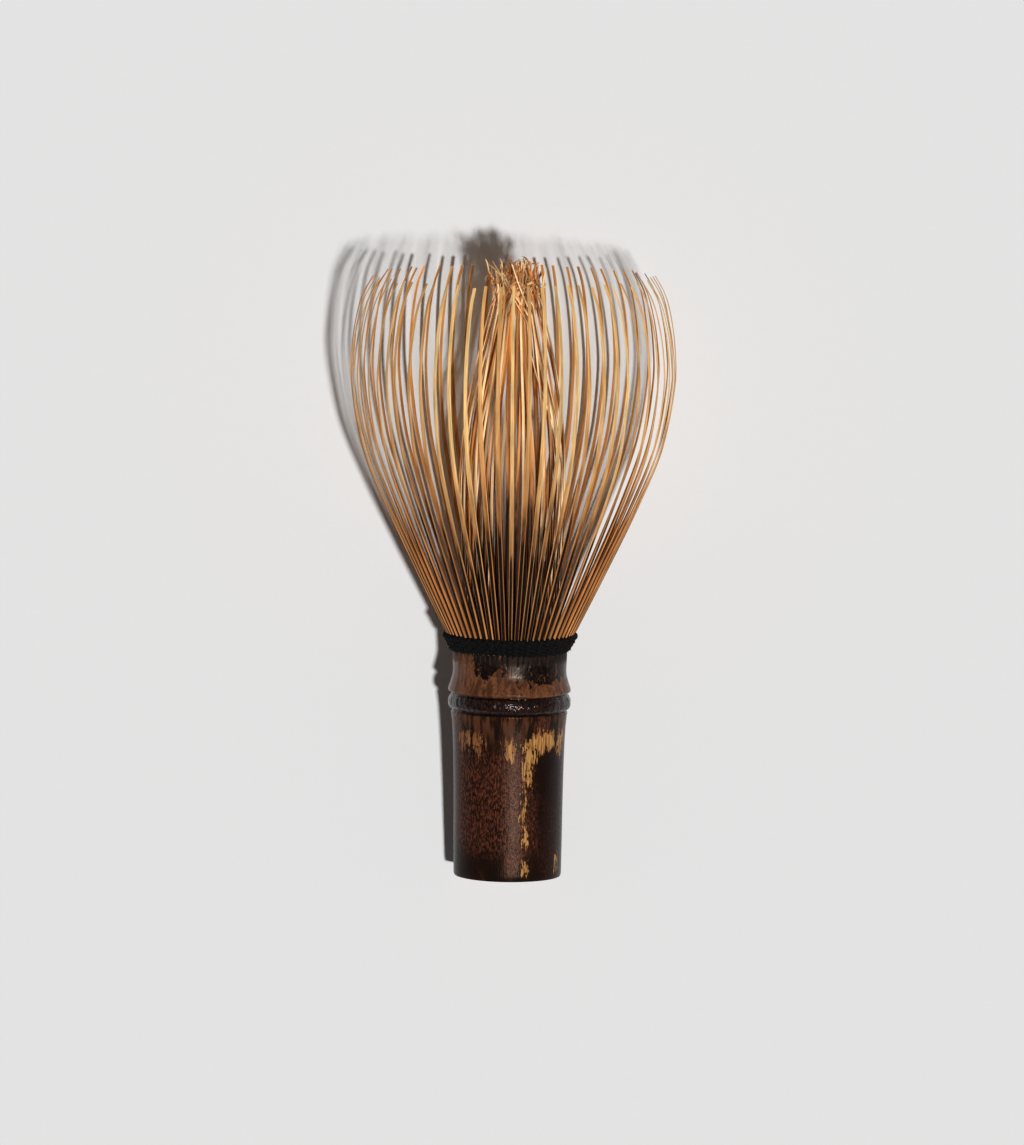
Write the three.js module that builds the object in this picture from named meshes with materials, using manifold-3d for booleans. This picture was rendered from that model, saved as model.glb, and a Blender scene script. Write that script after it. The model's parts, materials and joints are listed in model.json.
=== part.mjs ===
// Bamboo tea whisk (chasen): one bamboo culm whose upper wall is split into tines, bound with cotton thread.
// Millimetres, +Z up. The whisk stands on the cut end of its handle, and the origin is the centre of that end.
import * as THREE from 'three';
import { mergeVertices } from 'three/addons/utils/BufferGeometryUtils.js';
import Module from 'manifold-3d';

const wasm = await Module();
wasm.setup();

// Culm: handle, node and collar
const HANDLE_END_RADIUS = 10.2;
const HANDLE_CHAMFER = 0.3;
const BORE_RADIUS = 6.5;
const SEPTUM_BOTTOM = 32.2;
const SEPTUM_TOP = 34;
const NODE_RADIUS = 11.65;
const COLLAR_RADIUS = 10.8;
const RIM_HEIGHT = 42.9;
const RIM_INNER_RADIUS = 8.5;
const CULM_FACETS = 40;

// Tines
const ROOT_HEIGHT = 43.2;
const TINE_COUNT = 64; // in the outer cage, and again in the inner bundle
const TINE_PITCH = (2 * Math.PI) / TINE_COUNT;
const OUTER_TINES_PER_ROOT = 2;
const INNER_TINES_PER_ROOT = 4;
const OUTER_STEPS = 9;
const INNER_STEPS = 7;
const ROOT_BLOCK_HEIGHT = 1.3;
const ROOT_BLOCK_INSET = 0.1;
const ROOT_GAP = 0.42;

// Binding thread
const THREAD_DIAMETER = 0.42;
const THREAD_GAP = 0.3;
const THREAD_SIDES = 6;
const THREAD_STEPS_PER_TURN = 26;
const OUTER_THREAD = { turns: 3, bottom: 43.9, pitch: 0.95 };
const INNER_THREAD = { turns: 2, bottom: 44.7, pitch: 0.7, radius: 10.05 };

const CONFUSION = 1e-4; // vertices nearer than this are one vertex

// Centre planes of the tines: the outer surface as radius and height, then the blade's thickness and width
// at its root, its belly and its tip.
const OUTER_TINE = {
  outline: [[10.85, ROOT_HEIGHT], [18.6, 59], [26.8, 76.2], [30.9, 90.6], [31.4, 96.8], [30.6, 105.4], [27.1, 114.7]],
  steps: OUTER_STEPS,
  thickness: [0.9, 0.55, 0.28],
  width: [0.72, 0.92, 0.5],
};
const INNER_TINE_FAR = {
  outline: [[9.3, ROOT_HEIGHT], [9.8, 60], [10.7, 77], [9.7, 90.4], [6.8, 102.6], [4.9, 111], [3.9, 117.6]],
  steps: INNER_STEPS,
  thickness: [0.5, 0.4, 0.24],
  width: [0.5, 0.42, 0.3],
};
const INNER_TINE_NEAR = {
  outline: [[9.3, ROOT_HEIGHT], [9.6, 60], [9.7, 77], [8.3, 90.4], [5.4, 102.6], [3.6, 111], [2.8, 118.7]],
  steps: INNER_STEPS,
  thickness: INNER_TINE_FAR.thickness,
  width: INNER_TINE_FAR.width,
};

const smokedBamboo = new THREE.MeshStandardMaterial({ color: 0x3a1d12, roughness: 0.35, metalness: 0 });
const tineBamboo = new THREE.MeshStandardMaterial({ color: 0xc98d4b, roughness: 0.5, metalness: 0 });
const innerTineBamboo = new THREE.MeshStandardMaterial({ color: 0xc07f3c, roughness: 0.5, metalness: 0 });
const blackCotton = new THREE.MeshStandardMaterial({ color: 0x121013, roughness: 0.9, metalness: 0 });

const whisk = new THREE.Group();

function addMesh(name, geometry, material, azimuth = 0) {
  const mesh = new THREE.Mesh(geometry, material);
  mesh.name = name;
  mesh.rotation.z = azimuth;
  whisk.add(mesh);
}

function numbered(name, index) {
  return `${name}_${String(index + 1).padStart(2, '0')}`;
}

// A closed geometry as a solid that can be joined.
function solidOf(geometry) {
  const bare = geometry.clone();
  bare.deleteAttribute('normal');
  bare.deleteAttribute('uv');
  const welded = mergeVertices(bare, CONFUSION);
  const vertProperties = new Float32Array(welded.attributes.position.array);
  const triVerts = new Uint32Array(welded.index.array);
  return new wasm.Manifold(new wasm.Mesh({ numProp: 3, vertProperties, triVerts }));
}

function joined(geometries) {
  const solids = geometries.map(solidOf);
  const mesh = solids.reduce((whole, solid) => whole.add(solid)).getMesh();
  const geometry = new THREE.BufferGeometry();
  geometry.setAttribute('position', new THREE.BufferAttribute(mesh.vertProperties, 3));
  geometry.setIndex(new THREE.BufferAttribute(mesh.triVerts, 1));
  return geometry;
}

// Root, belly and tip values read at a share of the length, 0 at the root.
function along([root, belly, tip], share) {
  const half = share * 2;
  return half < 1 ? root + (belly - root) * half : belly + (tip - belly) * (half - 1);
}

// The side view of a blade in its own plane, x outwards and y up.
function bladeShape(tine, from, to, inset) {
  const curve = new THREE.SplineCurve(tine.outline.map(([radius, height]) => new THREE.Vector2(radius, height)));
  const outside = [];
  const inside = [];
  for (let step = 0; step <= tine.steps; step += 1) {
    const share = from + ((to - from) * step) / tine.steps;
    const point = curve.getPointAt(share);
    const tangent = curve.getTangentAt(share);
    const inward = new THREE.Vector2(-tangent.y, tangent.x);
    const thickness = along(tine.thickness, share);
    outside.push(point.clone().addScaledVector(inward, inset));
    inside.unshift(point.clone().addScaledVector(inward, thickness - inset));
  }
  return new THREE.Shape([...outside, ...inside]);
}

// Extrudes the side view to a width and stands it up, facing +X.
function extrudedBlade(shape, width) {
  const geometry = new THREE.ExtrudeGeometry(shape, { depth: width, bevelEnabled: false, curveSegments: 1 });
  geometry.translate(0, 0, -width / 2);
  geometry.rotateX(Math.PI / 2);
  return geometry;
}

function blade(tine) {
  const geometry = extrudedBlade(bladeShape(tine, 0, 1, 0), 1);
  const position = geometry.attributes.position;
  const heights = tine.outline.map(([, height]) => height);
  const rise = heights.at(-1) - heights[0];
  for (let i = 0; i < position.count; i += 1) {
    const share = THREE.MathUtils.clamp((position.getZ(i) - heights[0]) / rise, 0, 1);
    position.setY(i, position.getY(i) * along(tine.width, share));
  }
  return geometry;
}

// The uncut strip at the foot of a group, which the tines of that group share.
function rootBlock(tine, count) {
  const rise = tine.outline.at(-1)[1] - ROOT_HEIGHT;
  const radius = tine.outline[0][0] - tine.thickness[0];
  const width = 2 * radius * Math.tan((count * TINE_PITCH) / 2) - ROOT_GAP;
  const short = { ...tine, steps: 1 };
  return extrudedBlade(bladeShape(short, 0, ROOT_BLOCK_HEIGHT / rise, ROOT_BLOCK_INSET), width);
}

function tineGroup(tines) {
  const blades = tines.map((tine, index) => {
    const offset = index - (tines.length - 1) / 2;
    return blade(tine).rotateZ(offset * TINE_PITCH);
  });
  return joined([rootBlock(tines[0], tines.length), ...blades]);
}

// Culm: hollow below its septum, cupped above it, with two grooves round the node.
function addCulm() {
  const outside = [
    [HANDLE_END_RADIUS - HANDLE_CHAMFER, 0],
    [HANDLE_END_RADIUS, HANDLE_CHAMFER],
    [10.35, 8],
    [10.4, 14.6],
    [10.55, 22.8],
    [10.75, 28.6],
    [11.05, 30.6],
    [10.95, 31.5],
    [NODE_RADIUS, 32.6],
    [NODE_RADIUS - 0.1, 33.9],
    [11.15, 34.5],
    [NODE_RADIUS + 0.05, 35.2],
    [11.3, 37],
    [10.95, 38.6],
    [COLLAR_RADIUS, 40.3],
    [COLLAR_RADIUS, RIM_HEIGHT],
  ];
  const cup = [[RIM_INNER_RADIUS, RIM_HEIGHT], [7.9, 38], [6.6, 35], [0, SEPTUM_TOP]];
  const bore = [[0, SEPTUM_BOTTOM], [6, 31.6], [BORE_RADIUS - 0.1, 29], [BORE_RADIUS, 0]];
  const profile = [...bore, ...outside, ...cup].map(([radius, height]) => new THREE.Vector2(radius, height));
  const geometry = new THREE.LatheGeometry(profile, CULM_FACETS);
  geometry.rotateX(Math.PI / 2);
  addMesh('culm', geometry, smokedBamboo);
}

function addOuterTines() {
  const geometry = tineGroup(Array(OUTER_TINES_PER_ROOT).fill(OUTER_TINE));
  const roots = TINE_COUNT / OUTER_TINES_PER_ROOT;
  for (let i = 0; i < roots; i += 1) {
    const azimuth = (i * OUTER_TINES_PER_ROOT + (OUTER_TINES_PER_ROOT - 1) / 2) * TINE_PITCH;
    addMesh(numbered('outer_tines', i), geometry, tineBamboo, azimuth);
  }
}

// Neighbouring inner tines run in two rings, because one ring is too crowded at the tips.
function addInnerTines() {
  const rings = [INNER_TINE_FAR, INNER_TINE_NEAR];
  const tines = Array.from({ length: INNER_TINES_PER_ROOT }, (_, index) => rings[index % rings.length]);
  const geometry = tineGroup(tines);
  const roots = TINE_COUNT / INNER_TINES_PER_ROOT;
  for (let i = 0; i < roots; i += 1) {
    const azimuth = (i * INNER_TINES_PER_ROOT + (INNER_TINES_PER_ROOT - 1) / 2) * TINE_PITCH;
    addMesh(numbered('inner_tines', i), geometry, innerTineBamboo, azimuth);
  }
}

class Winding extends THREE.Curve {
  constructor({ turns, bottom, pitch }, radiusAt) {
    super();
    Object.assign(this, { turns, bottom, pitch, radiusAt });
  }

  getPoint(share, target = new THREE.Vector3()) {
    const angle = share * this.turns * 2 * Math.PI;
    const height = this.bottom + share * this.turns * this.pitch;
    const radius = this.radiusAt(height);
    return target.set(radius * Math.cos(angle), radius * Math.sin(angle), height);
  }
}

function addThread(name, winding, radiusAt) {
  const section = new THREE.Shape();
  section.absarc(0, 0, THREAD_DIAMETER / 2, 0, 2 * Math.PI);
  const geometry = new THREE.ExtrudeGeometry(section, {
    extrudePath: new Winding(winding, radiusAt),
    steps: winding.turns * THREAD_STEPS_PER_TURN,
    curveSegments: THREAD_SIDES / 2, // three.js doubles this on an arc
    bevelEnabled: false,
  });
  addMesh(name, geometry, blackCotton);
}

// The outer winding lies on the cone that the roots of the outer tines make, clear of it by the gap.
function outerThreadRadius(height) {
  const [[rootRadius, rootHeight], [nextRadius, nextHeight]] = OUTER_TINE.outline;
  const slope = (nextRadius - rootRadius) / (nextHeight - rootHeight);
  const clearance = (THREAD_GAP + THREAD_DIAMETER / 2) / Math.cos(Math.atan(slope));
  return rootRadius + slope * (height - rootHeight) + clearance;
}

addCulm();
addOuterTines();
addInnerTines();
addThread('thread_outer', OUTER_THREAD, outerThreadRadius);
addThread('thread_inner', INNER_THREAD, () => INNER_THREAD.radius);

export default whisk;
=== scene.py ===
import json
import math
import random
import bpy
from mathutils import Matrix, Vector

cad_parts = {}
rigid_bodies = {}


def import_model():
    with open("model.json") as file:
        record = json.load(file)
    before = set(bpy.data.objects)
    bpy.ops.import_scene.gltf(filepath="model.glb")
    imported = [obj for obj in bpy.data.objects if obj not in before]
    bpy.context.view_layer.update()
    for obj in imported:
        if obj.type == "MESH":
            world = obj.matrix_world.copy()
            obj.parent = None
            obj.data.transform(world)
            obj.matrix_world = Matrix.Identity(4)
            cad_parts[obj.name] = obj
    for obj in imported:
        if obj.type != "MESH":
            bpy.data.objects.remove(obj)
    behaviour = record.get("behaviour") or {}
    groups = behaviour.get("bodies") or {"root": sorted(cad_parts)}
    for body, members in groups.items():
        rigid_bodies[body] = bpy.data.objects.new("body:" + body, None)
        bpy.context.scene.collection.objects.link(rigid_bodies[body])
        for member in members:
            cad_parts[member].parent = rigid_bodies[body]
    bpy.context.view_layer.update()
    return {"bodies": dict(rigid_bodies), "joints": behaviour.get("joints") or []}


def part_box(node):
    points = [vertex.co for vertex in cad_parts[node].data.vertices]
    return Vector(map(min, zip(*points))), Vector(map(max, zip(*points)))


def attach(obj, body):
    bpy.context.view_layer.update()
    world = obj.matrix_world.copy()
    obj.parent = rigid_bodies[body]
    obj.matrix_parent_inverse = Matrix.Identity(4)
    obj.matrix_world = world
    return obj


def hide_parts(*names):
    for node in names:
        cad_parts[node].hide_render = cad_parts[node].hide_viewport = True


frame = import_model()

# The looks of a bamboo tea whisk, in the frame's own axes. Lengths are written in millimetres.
from types import SimpleNamespace

import bmesh
import bpy
import numpy as np
from mathutils import Quaternion, Vector

MM = 0.001
SEED = 11

# Heights that the frame settles
RIM_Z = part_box("culm")[1].z / MM
ROOT_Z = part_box("outer_tines_01")[0].z / MM
OUTER_TIP_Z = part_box("outer_tines_01")[1].z / MM
INNER_TIP_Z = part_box("inner_tines_01")[1].z / MM

TINE_COUNT = 64
TINE_PITCH = 360 / TINE_COUNT
OUTER_PER_BODY = 2
INNER_PER_BODY = 4

# The grooves below and above the node
NODE_LOW_Z = 31.85
NODE_HIGH_Z = 35.0


# ---------------------------------------------------------------- numbers and curves

def paint(red, green, blue):
    """A colour given as it looks on screen, 0 to 255, as Blender's linear numbers."""
    def linear(level):
        share = level / 255
        return share / 12.92 if share <= 0.04045 else ((share + 0.055) / 1.055) ** 2.4
    return (linear(red), linear(green), linear(blue), 1.0)


def smoothstep(low, high, value):
    share = np.clip((value - low) / (high - low), 0, 1)
    return share * share * (3 - 2 * share)


def through(points, count):
    """A smooth curve through the points, as count points at equal steps of its length."""
    points = np.array(points, float)
    ends = [2 * points[0] - points[1], *points, 2 * points[-1] - points[-2]]
    fine = []
    for a, b, c, d in zip(ends, ends[1:], ends[2:], ends[3:]):
        for t in np.linspace(0, 1, 24, endpoint=False):
            fine.append(0.5 * (2 * b + (c - a) * t + (2 * a - 5 * b + 4 * c - d) * t**2
                               + (3 * b - a - 3 * c + d) * t**3))
    fine = np.array([*fine, points[-1]])
    run = np.concatenate([[0], np.cumsum(np.linalg.norm(np.diff(fine, axis=0), axis=1))])
    at = np.linspace(0, run[-1], count)
    return np.stack([np.interp(at, run, column) for column in fine.T], axis=1)


def unit(vectors):
    return vectors / np.linalg.norm(vectors, axis=-1, keepdims=True)


# ---------------------------------------------------------------- mesh building

class Sheet:
    """Collects lofted skins, with numbers on their points, and makes one piece of them.

    The kind of a face is the place of its material in the piece's list of materials.
    """

    def __init__(self):
        self.points, self.faces, self.numbers, self.kinds = [], [], {}, []

    def add(self, face, kind):
        self.faces.append(face)
        self.kinds.append(kind)

    def join(self, first, second, around, kind):
        """A band of faces between two rings of points, each given by its first point."""
        for j in range(around):
            k = (j + 1) % around
            self.add((first + j, first + k, second + k, second + j), kind)

    def close(self, first, around, centre, kind):
        """Closes a ring of points with a fan of faces to a new point at its centre."""
        self.points.append(centre)
        for j in range(around):
            self.add((first + j, first + (j + 1) % around, len(self.points) - 1), kind)

    def loft(self, rings, numbers, closed=False, capped=True, kind=0):
        """A skin over rings, an array of stations x points round x 3. Returns its first and last ring.

        numbers gives a value for each point. closed joins the last ring to the first, and capped closes both
        ends. kind is one number for all faces, or one for each band.
        """
        stations, around = rings.shape[:2]
        first = len(self.points)
        last = first + (stations - 1) * around
        self.points.extend(rings.reshape(-1, 3).tolist())
        for name, values in numbers.items():
            values = np.broadcast_to(values, (stations, around)).reshape(-1)
            self.numbers.setdefault(name, []).extend(values.tolist())
        kinds = np.broadcast_to(kind, stations if closed else stations - 1).tolist()
        for i, band_kind in enumerate(kinds):
            self.join(first + i * around, first + (i + 1) % stations * around, around, band_kind)
        if capped and not closed:
            self.add(tuple(first + j for j in reversed(range(around))), kinds[0])
            self.add(tuple(last + j for j in range(around)), kinds[-1])
        return first, last

    def piece(self, name, body, slot, materials, replaced, sharp_deg=35):
        mesh = bpy.data.meshes.new(name)
        mesh.from_pydata((np.array(self.points) * MM).tolist(), [], self.faces)
        for material in materials:
            mesh.materials.append(material)
        mesh.polygons.foreach_set("material_index", self.kinds)
        for key, values in self.numbers.items():
            layer = mesh.attributes.new(key, "FLOAT", "POINT")
            layer.data.foreach_set("value", values)
        smooth_outward(mesh, sharp_deg)
        piece = bpy.data.objects.new(name, mesh)
        bpy.context.scene.collection.objects.link(piece)
        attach(piece, body)
        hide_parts(*replaced)
        return piece


def smooth_outward(mesh, sharp_deg):
    """Faces point out and are smooth, with an edge sharp where it turns by more than sharp_deg."""
    work = bmesh.new()
    work.from_mesh(mesh)
    bmesh.ops.recalc_face_normals(work, faces=work.faces)
    limit = math.radians(sharp_deg)
    for face in work.faces:
        face.smooth = True
    for edge in work.edges:
        edge.smooth = edge.calc_face_angle(0) < limit
    work.to_mesh(mesh)
    work.free()


# ---------------------------------------------------------------- material building

class Shader:
    """One material. Most methods add nodes and give back the socket with the result."""

    def __init__(self, name):
        self.material = bpy.data.materials.new(name)
        self.material.use_nodes = True
        self.tree = self.material.node_tree
        self.tree.nodes.clear()
        self.output = self.tree.nodes.new("ShaderNodeOutputMaterial")
        self.surface = self.tree.nodes.new("ShaderNodeBsdfPrincipled")
        self.tree.links.new(self.surface.outputs[0], self.output.inputs["Surface"])

    def feed(self, socket, value):
        """Links a socket's result to the socket, or sets a number or colour on it."""
        if isinstance(value, bpy.types.NodeSocket):
            self.tree.links.new(value, socket)
        else:
            socket.default_value = value

    def set(self, name, value):
        self.feed(self.surface.inputs[name], value)

    def maths(self, operation, first, second=0.0):
        node = self.tree.nodes.new("ShaderNodeMath")
        node.operation = operation
        self.feed(node.inputs[0], first)
        self.feed(node.inputs[1], second)
        return node.outputs[0]

    def plus(self, first, second):
        return self.maths("ADD", first, second)

    def total(self, first, *others):
        for other in others:
            first = self.plus(first, other)
        return first

    def times(self, first, second):
        return self.maths("MULTIPLY", first, second)

    def most(self, first, second):
        return self.maths("MAXIMUM", first, second)

    def sway(self, noise, amount):
        """The noise about 0 instead of 0.5, made larger by amount."""
        return self.times(self.plus(noise, -0.5), amount)

    def rise(self, value, low, high):
        """0 below low, 1 above high and smooth between them. With low above high it falls instead."""
        node = self.tree.nodes.new("ShaderNodeMapRange")
        node.interpolation_type = "SMOOTHSTEP"
        self.feed(node.inputs["Value"], value)
        self.feed(node.inputs["From Min"], min(low, high))
        self.feed(node.inputs["From Max"], max(low, high))
        self.feed(node.inputs["To Min"], 0.0 if low < high else 1.0)
        self.feed(node.inputs["To Max"], 1.0 if low < high else 0.0)
        return node.outputs["Result"]

    def hump(self, value, centre, half, soft):
        """1 within half of the centre, falling to 0 over a further soft."""
        away = self.maths("ABSOLUTE", self.plus(value, -centre))
        return self.rise(away, half + soft, half)

    def place(self):
        """The point's x, y and z in millimetres."""
        coordinates = self.tree.nodes.new("ShaderNodeTexCoord")
        split = self.tree.nodes.new("ShaderNodeSeparateXYZ")
        self.feed(split.inputs[0], coordinates.outputs["Object"])
        return [self.times(split.outputs[i], 1 / MM) for i in range(3)]

    def number(self, name):
        """One of the numbers that a Sheet puts on its points."""
        node = self.tree.nodes.new("ShaderNodeAttribute")
        node.attribute_name = name
        return node.outputs["Fac"]

    def vector(self, x, y, z):
        node = self.tree.nodes.new("ShaderNodeCombineXYZ")
        for socket, value in zip(node.inputs, (x, y, z)):
            self.feed(socket, value)
        return node.outputs[0]

    def noise(self, vector, scale, detail=3.0, roughness=0.55):
        """Values mostly between 0.3 and 0.7, 0.5 on average."""
        node = self.tree.nodes.new("ShaderNodeTexNoise")
        self.feed(node.inputs["Vector"], vector)
        self.feed(node.inputs["Scale"], scale)
        self.feed(node.inputs["Detail"], detail)
        self.feed(node.inputs["Roughness"], roughness)
        return node.outputs["Fac"]

    def mix(self, share, first, second):
        """The first colour where share is 0 and the second where it is 1."""
        node = self.tree.nodes.new("ShaderNodeMix")
        node.data_type = "RGBA"
        node.clamp_factor = True
        self.feed(node.inputs[0], share)
        self.feed(node.inputs[6], first)
        self.feed(node.inputs[7], second)
        return node.outputs[2]

    def bright(self, colour, factor):
        """The colour made lighter or darker by a factor."""
        node = self.tree.nodes.new("ShaderNodeVectorMath")
        node.operation = "SCALE"
        self.feed(node.inputs[0], colour)
        self.feed(node.inputs["Scale"], factor)
        return node.outputs[0]

    def bump(self, height, distance):
        """Relief of the given depth in millimetres."""
        node = self.tree.nodes.new("ShaderNodeBump")
        node.inputs["Distance"].default_value = distance * MM
        self.feed(node.inputs["Height"], height)
        self.set("Normal", node.outputs[0])


# ---------------------------------------------------------------- camera, light and backdrop

# A long lens in front of the whisk and a little above it. VIEW_HEIGHT is what the picture shows of the plane
# through its target.
CAMERA_DISTANCE = 1500
CAMERA_ELEVATION = math.radians(6.8)
CAMERA_ROLL = math.radians(0.7)
CAMERA_TARGET = (0.2, 0, 57.9)
CAMERA_SEES_TO = 10000
VIEW_HEIGHT = 217.3
SENSOR = 36

# Distant lamps: direction from the whisk to the lamp, strength, and width in degrees
SUNS = {
    "key": ((0.165, -1.013, -0.0745), 3.0, 2.7),
    "back_left": ((-0.45, 0.7, 0.75), 0.8, 30),
    "back_right": ((0.5, 0.65, 0.6), 0.6, 30),
}
FILL_STRENGTH = 0.095
PALE_BEYOND = paint(227, 227, 226)

# The pale surface leans from behind the handle's end to a point, as y and z, behind the belly of the cage
BACKDROP_FOOT_Y = 10.5
BACKDROP_HEAD = (31.9, 98)
BACKDROP_HALF_SIZE = 2500
BACKDROP_PALE = (paint(228, 228, 228), paint(230, 230, 230))


def add_camera():
    data = bpy.data.cameras.new("camera")
    data.sensor_width = SENSOR
    data.lens = SENSOR * CAMERA_DISTANCE / VIEW_HEIGHT
    data.clip_end = CAMERA_SEES_TO * MM
    camera = bpy.data.objects.new("camera", data)
    back = Vector((0, -math.cos(CAMERA_ELEVATION), math.sin(CAMERA_ELEVATION)))
    camera.location = (Vector(CAMERA_TARGET) + back * CAMERA_DISTANCE) * MM
    camera.rotation_mode = "QUATERNION"
    camera.rotation_quaternion = back.to_track_quat("Z", "Y") @ Quaternion((0, 0, 1), CAMERA_ROLL)
    bpy.context.scene.collection.objects.link(camera)
    bpy.context.scene.camera = camera


def add_sun(name, towards, strength, width_deg):
    data = bpy.data.lights.new(name, "SUN")
    data.energy = strength
    data.angle = math.radians(width_deg)
    lamp = bpy.data.objects.new(name, data)
    lamp.rotation_mode = "QUATERNION"
    lamp.rotation_quaternion = Vector(towards).to_track_quat("Z", "Y")
    bpy.context.scene.collection.objects.link(lamp)


def add_world():
    """Weak even fill. What the camera sees past the backdrop is as pale as the backdrop."""
    world = bpy.data.worlds.new("studio")
    bpy.context.scene.world = world
    world.use_nodes = True
    tree = world.node_tree
    tree.nodes.clear()
    fill = tree.nodes.new("ShaderNodeBackground")
    fill.inputs["Strength"].default_value = FILL_STRENGTH
    pale = tree.nodes.new("ShaderNodeBackground")
    pale.inputs["Color"].default_value = PALE_BEYOND
    path = tree.nodes.new("ShaderNodeLightPath")
    mix = tree.nodes.new("ShaderNodeMixShader")
    output = tree.nodes.new("ShaderNodeOutputWorld")
    tree.links.new(path.outputs["Is Camera Ray"], mix.inputs[0])
    tree.links.new(fill.outputs[0], mix.inputs[1])
    tree.links.new(pale.outputs[0], mix.inputs[2])
    tree.links.new(mix.outputs[0], output.inputs["Surface"])


def backdrop_material():
    """Matt and pale. It is seen from its front only, so that it doesn't hide the whisk's back."""
    shader = Shader("pale_surface")
    x, y, z = shader.place()
    grain = shader.noise(shader.vector(x, y, z), 0.8)
    shader.set("Base Color", shader.mix(grain, *BACKDROP_PALE))
    shader.set("Roughness", 0.95)
    shader.set("Specular IOR Level", 0.1)
    tree = shader.tree
    clear = tree.nodes.new("ShaderNodeBsdfTransparent")
    side = tree.nodes.new("ShaderNodeNewGeometry")
    mix = tree.nodes.new("ShaderNodeMixShader")
    tree.links.new(side.outputs["Backfacing"], mix.inputs[0])
    tree.links.new(shader.surface.outputs[0], mix.inputs[1])
    tree.links.new(clear.outputs[0], mix.inputs[2])
    tree.links.new(mix.outputs[0], shader.output.inputs["Surface"])
    return shader.material


def add_backdrop():
    """A large plane that takes the whisk's shadow and casts none."""
    head_y, head_z = BACKDROP_HEAD
    foot = Vector((0, BACKDROP_FOOT_Y, 0))
    up = (Vector((0, head_y, head_z)) - foot).normalized()
    side = Vector((1, 0, 0))
    corners = [foot + side * a * BACKDROP_HALF_SIZE + up * b * BACKDROP_HALF_SIZE
               for a, b in ((-1, -1), (1, -1), (1, 1), (-1, 1))]
    mesh = bpy.data.meshes.new("backdrop")
    mesh.from_pydata([corner * MM for corner in corners], [], [(0, 1, 2, 3)])
    mesh.materials.append(backdrop_material())
    backdrop = bpy.data.objects.new("backdrop", mesh)
    bpy.context.scene.collection.objects.link(backdrop)
    backdrop.visible_shadow = False


# ---------------------------------------------------------------- the culm's materials

# Ochre patches on the handle: azimuth and half width in degrees, lower and upper edge, and how ragged the
# lower edge is
OCHRE_PATCHES = (
    (-43, 17, 24.2, 28.6, 11),
    (1, 8, 24.6, 27.2, 9),
    (40, 17, 25.0, 28.8, 7),
    (42, 10, 25.4, 28.2, 4),
    (24, 8, 22.6, 27.2, 9),
    (21, 5, 18.0, 24.0, 8),
    (16, 3, 12.0, 18.5, 7),
    (19, 3.5, 6.5, 11.0, 4),
    (20, 3, 1.4, 4.4, 3),
    (67, 8, 24.2, 28.6, 8),
    (63, 5, 0.6, 5.2, 3),
    (152, 24, 22.5, 28.6, 12),
    (148, 12, 24.5, 28.0, 6),
    (-148, 8, 8.0, 27.0, 12),
    (-112, 12, 25.0, 29.0, 8),
    (104, 7, 2.0, 13.0, 9),
    (-170, 6, 1.0, 5.0, 5),
)

# How softly the patches end: across, as shares of the half width, and at their lower and upper edges
PATCH_FULL = 0.6
PATCH_FADE = 0.8
PATCH_LOWER_SOFT = 0.9
PATCH_UPPER_SOFT = 1.4

SMOKED = (paint(25, 15, 11), paint(43, 25, 18))
RED_FLECK = paint(104, 54, 37)
DARK_PIT = paint(20, 12, 10)
RIGHT_SHADE = paint(24, 14, 11)
BROWN_STREAK = paint(96, 58, 38)
OCHRE = (paint(124, 76, 42), paint(184, 136, 76))
BROWNER_OCHRE = (paint(104, 62, 38), paint(152, 102, 62))
COLLAR_BROWN = (paint(74, 44, 29), paint(116, 72, 47))
COLLAR_FLECK = paint(52, 31, 22)
COLLAR_SMOKE = (paint(13, 9, 8), paint(32, 21, 17))
NODE_BAND = (paint(20, 12, 10), paint(46, 28, 22))
GROOVE = paint(10, 7, 7)
CUT_STRAW = (paint(122, 82, 46), paint(180, 136, 84))
CUT_BLOTCH = paint(98, 64, 38)

# Heights of the node's dark band and of its gloss, of the collar's dark edge, and of the dull skin under the
# thread
BAND_Z = 33.4
GLOSS_Z = 33.3
DARK_EDGE_Z = 39.2
DULL_FROM_Z = 40.6
DULL_FULL_Z = 42.0


def skin_patterns(s):
    """Where a point of the skin is, and the noises there. Most are drawn out along the fibres."""
    x, y, z = s.place()

    def drawn_out(squeeze, scale, detail, roughness=0.55):
        return s.noise(s.vector(x, y, s.times(z, squeeze)), scale, detail, roughness)

    return SimpleNamespace(
        z=z,
        # 0 at the front, positive to the right, 180 degrees at the back
        azimuth=s.times(s.maths("ARCTAN2", x, s.times(y, -1)), 180 / math.pi),
        cloud=drawn_out(0.5, 0.16, 3),
        streak=drawn_out(0.14, 1.1, 4, 0.6),
        fibre=drawn_out(0.08, 4.0, 3),
        fleck=drawn_out(0.42, 3.4, 3, 0.6),
        blot=drawn_out(0.34, 1.3, 4, 0.6),
        patchy=drawn_out(0.9, 0.75, 4, 0.65),
        pit=s.noise(s.vector(s.times(x, 1.3), s.times(y, 1.3), s.times(z, 0.7)), 5.5, 2),
        dimple=s.noise(s.vector(x, y, z), 1.1, 2),
    )


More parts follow.
